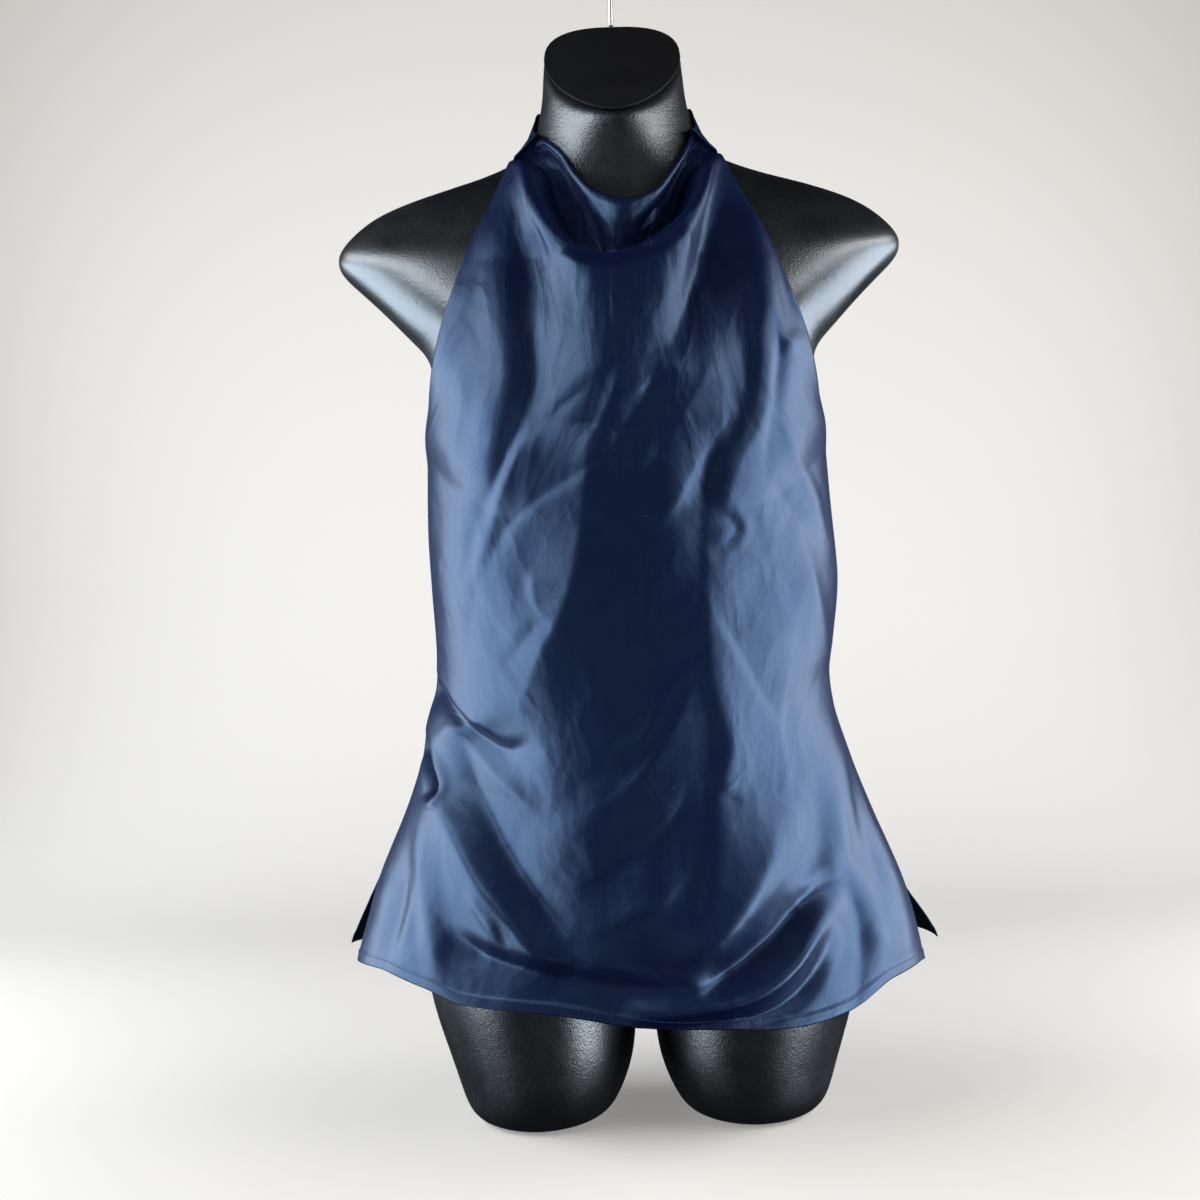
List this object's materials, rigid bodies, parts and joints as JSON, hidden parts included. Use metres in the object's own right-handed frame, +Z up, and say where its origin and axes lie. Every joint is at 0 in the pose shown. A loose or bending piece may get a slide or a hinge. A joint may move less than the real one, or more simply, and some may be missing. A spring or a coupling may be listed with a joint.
{
  "type": "halter neck top on a torso dress form",
  "caption": "Sleeveless halter neck top of draped satin with a cowl collar, low back and side vents, on a limbless torso dress form with a wire hook.",
  "frame": {"origin": "centre of the bounding box across and in depth, at the level of the two flat thigh ends that the form stands on", "axes": "+Z up, -Y towards the front of the top, +X towards the wearer's left"},
  "size_m": [0.4453, 0.2941, 0.9091],
  "materials": {
    "torso_form": "black, fine moulded grain, satin sheen",
    "neck_cap": "black, smooth",
    "hanging_hook": "drawn wire",
    "front_panel": "navy satin, creased",
    "back_panel": "navy satin",
    "collar": "navy satin, folded over",
    "neck_band": "navy satin",
    "buttons": "covered in navy satin"
  },
  "bodies": {
    "root": {"torso_form_right": "torso_form", "torso_form_left": "torso_form", "form_neck": "torso_form", "neck_cap": "neck_cap", "hanging_hook": "hanging_hook", "front_panel": "front_panel", "back_panel": "back_panel", "collar": "collar", "neck_band_right": "neck_band", "neck_band_left": "neck_band", "button_lower": "buttons", "button_upper": "buttons"}
  },
  "joints": []
}
